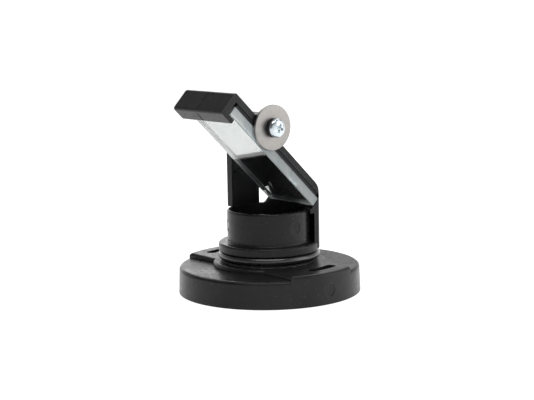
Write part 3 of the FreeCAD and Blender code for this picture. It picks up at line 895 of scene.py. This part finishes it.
# ------------------------------------------------------------------ studio
@dataclass
class Studio:
    """Pale floor, soft lights and the camera, sizes in metres."""

    floor_size: float = 6.0
    lens: float = 87.64
    camera_at: tuple[float, float, float] = (0.54166, -0.44749, 0.16020)
    look: tuple[float, float, float] = (-0.7622, 0.6284, -0.1554)
    roll: float = math.radians(1.02)
    room: float = 1.05
    front: float = 0.26
    ceiling: float = 0.30
    dark_side: float = -55.0
    floor_glow: float = 0.88

    def build(self) -> None:
        """Set up the floor, the lights and the camera, with a plain tone curve."""
        bpy.context.scene.view_settings.view_transform = "Standard"
        self.floor()
        self.world()
        self.lamps()
        self.camera()

    def floor(self) -> None:
        """Lay a large pale sheet under the part, with a faint paper grain."""
        side = np.linspace(-self.floor_size / 2, self.floor_size / 2, 9)
        x, y = np.meshgrid(side, side, indexing="ij")
        points = np.stack([x, y, np.full_like(x, -0.0002)], axis=-1)
        mesh = bpy.data.meshes.new("floor")
        mesh.from_pydata(points.reshape(-1, 3).tolist(), [], grid_faces(9, 9, False, False).tolist())
        made = bpy.data.objects.new("floor", mesh)
        bpy.context.scene.collection.objects.link(made)
        g = Graph("floor_paper")
        grain = g.noise(400.0, 3.0, 0.5)
        g.join(g.ramp(grain, [(0.3, (0.40, 0.40, 0.40)), (0.7, (0.43, 0.43, 0.43))]),
               g.shader.inputs["Base Color"])
        g.shader.inputs["Emission Color"].default_value = (1.0, 1.0, 1.0, 1.0)
        g.shader.inputs["Emission Strength"].default_value = self.floor_glow
        g.shader.inputs["Roughness"].default_value = 0.9
        made.data.materials.append(g.material)

    def area(self, name: str, at: tuple[float, float, float], size: tuple[float, float],
             power: float, aim: tuple[float, float, float] = (0.0, 0.0, 0.05)) -> None:
        """Add a rectangular soft light.

        Args:
            name: the light's name.
            at: its place.
            size: its width and height.
            power: watts.
            aim: the point it faces.
        """
        data = bpy.data.lights.new(name, "AREA")
        data.shape = "RECTANGLE"
        data.size, data.size_y = size
        data.energy = power
        lamp = bpy.data.objects.new(name, data)
        lamp.location = at
        lamp.rotation_euler = (Vector(aim) - Vector(at)).to_track_quat("-Z", "Y").to_euler()
        bpy.context.scene.collection.objects.link(lamp)

    def spot(self, azimuth: float, elevation: float, distance: float) -> tuple[float, float, float]:
        """Place round the part, with azimuth measured from the camera's own side.

        Args:
            azimuth: degrees to the camera's right.
            elevation: degrees above the floor.
            distance: metres from the swivel axis.

        Returns:
            The point.
        """
        start = math.atan2(self.camera_at[1], self.camera_at[0])
        turn = start + math.radians(azimuth)
        rise = math.radians(elevation)
        flat = distance * math.cos(rise)
        return (flat * math.cos(turn), flat * math.sin(turn), 0.05 + distance * math.sin(rise))

    def world(self) -> None:
        """Whiten the room, and darken it overhead and on the side that the hook's front sees."""
        world = bpy.data.worlds.new("room")
        bpy.context.scene.world = world
        world.use_nodes = True
        tree = world.node_tree
        shade = tree.nodes["Background"]
        way = tree.nodes.new("ShaderNodeTexCoord")
        dot = tree.nodes.new("ShaderNodeVectorMath")
        dot.operation = "DOT_PRODUCT"
        dot.inputs[1].default_value = Vector(self.spot(self.dark_side, 10, 1.0)).normalized()
        side = tree.nodes.new("ShaderNodeMapRange")
        side.interpolation_type = "SMOOTHSTEP"
        set_range(side, 0.10, 0.90, self.room, self.front)
        height = tree.nodes.new("ShaderNodeSeparateXYZ")
        above = tree.nodes.new("ShaderNodeMapRange")
        above.interpolation_type = "SMOOTHSTEP"
        set_range(above, 0.12, 0.60, 1.0, self.ceiling)
        both = tree.nodes.new("ShaderNodeMath")
        both.operation = "MULTIPLY"
        tree.links.new(way.outputs["Generated"], dot.inputs[0])
        tree.links.new(way.outputs["Generated"], height.inputs[0])
        tree.links.new(dot.outputs["Value"], side.inputs["Value"])
        tree.links.new(height.outputs["Z"], above.inputs["Value"])
        tree.links.new(side.outputs[0], both.inputs[0])
        tree.links.new(above.outputs[0], both.inputs[1])
        tree.links.new(both.outputs[0], shade.inputs["Strength"])
        shade.inputs["Color"].default_value = (1.0, 1.0, 1.0, 1.0)

    def lamps(self) -> None:
        """Place the four soft boxes: two at the sides, one behind and one above the front."""
        self.area("left_box", self.spot(-165, 8, 0.9), (0.4, 0.3), 0.4)
        self.area("crown_box", self.spot(0, 68, 0.9), (0.8, 0.3), 3.5)
        self.area("right_box", self.spot(82, 20, 0.9), (0.6, 0.9), 2.4)
        self.area("back_box", self.spot(175, 50, 0.9), (0.8, 0.6), 4.0)

    def camera(self) -> None:
        """Stand the camera where the part is seen from its screw side, a little above."""
        ahead = Vector(self.look).normalized()
        right = ahead.cross(Vector((0, 0, 1))).normalized()
        up = right.cross(ahead)
        right_rolled = right * math.cos(self.roll) - up * math.sin(self.roll)
        up_rolled = right * math.sin(self.roll) + up * math.cos(self.roll)
        pose = Matrix((right_rolled, up_rolled, -ahead)).transposed().to_4x4()
        pose.translation = Vector(self.camera_at)
        data = bpy.data.cameras.new("camera")
        data.lens = self.lens
        data.sensor_width = 36.0
        data.sensor_fit = "HORIZONTAL"
        data.clip_start = 0.01
        made = bpy.data.objects.new("camera", data)
        made.matrix_world = pose
        bpy.context.scene.collection.objects.link(made)
        bpy.context.scene.camera = made


def main() -> None:
    """Build and dress every piece, then the studio."""
    logging.basicConfig(level=logging.INFO, format="%(message)s")
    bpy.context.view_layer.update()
    for part in (Mouldings(), NeckSeals(), MirrorStack(), ScrewStack()):
        part.build()
        LOG.info("%s done", type(part).__name__)
    Studio().build()


if __name__ == "__main__":
    main()
